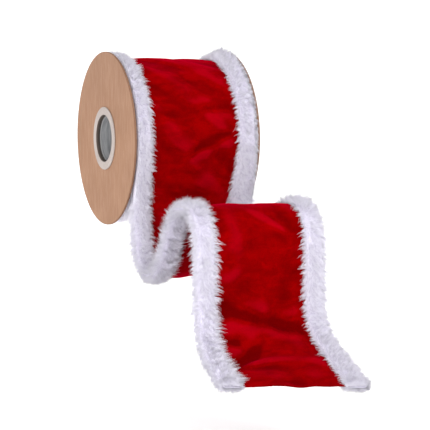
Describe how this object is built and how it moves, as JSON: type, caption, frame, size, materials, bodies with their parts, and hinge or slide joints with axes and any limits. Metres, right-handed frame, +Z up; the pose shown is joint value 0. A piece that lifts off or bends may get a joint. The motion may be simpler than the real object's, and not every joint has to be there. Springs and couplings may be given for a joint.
{
  "type": "ribbon reel",
  "caption": "Flanged board reel of wide red plush ribbon with white faux fur edges, its free end hanging in an S-curve to a slanted cut.",
  "frame": {"origin": "middle of the reel's bore, on its axis, where a rod carries it", "axes": "+X along the bore to the right-hand flange, -Y the side on which the ribbon comes off, +Z up"},
  "size_m": [0.1086, 0.332, 0.2454],
  "materials": {
    "kraft_board": "matte",
    "grey_board": "matte",
    "ring_plastic": "satin",
    "clear_tape": "gloss",
    "red_velvet": "matte",
    "white_fur": "matte",
    "edge_wire": "satin"
  },
  "bodies": {
    "reel": {"left_flange": "kraft_board", "right_flange": "kraft_board", "left_hub_ring": "ring_plastic", "right_hub_ring": "ring_plastic", "core_tube": "grey_board", "start_tape": "clear_tape", "wound_velvet": "red_velvet", "wound_left_fur": "white_fur", "wound_right_fur": "white_fur"},
    "loop": {"loop_velvet": "red_velvet", "loop_left_fur": "white_fur", "loop_left_wire": "edge_wire", "loop_right_fur": "white_fur", "loop_right_wire": "edge_wire"},
    "tail": {"tail_velvet": "red_velvet", "tail_left_fur": "white_fur", "tail_left_wire": "edge_wire", "tail_right_fur": "white_fur", "tail_right_wire": "edge_wire"}
  },
  "joints": [
    {"name": "loop_lift", "type": "hinge", "parent": "reel", "child": "loop", "pos_m": [0, -0.06249, -0.00878], "axis": [-1, 0, 0], "range_deg": [0, 30]},
    {"name": "tail_fold", "type": "hinge", "parent": "loop", "child": "tail", "pos_m": [0, -0.16, -0.046], "axis": [-1, 0, 0], "range_deg": [-15, 35]}
  ]
}
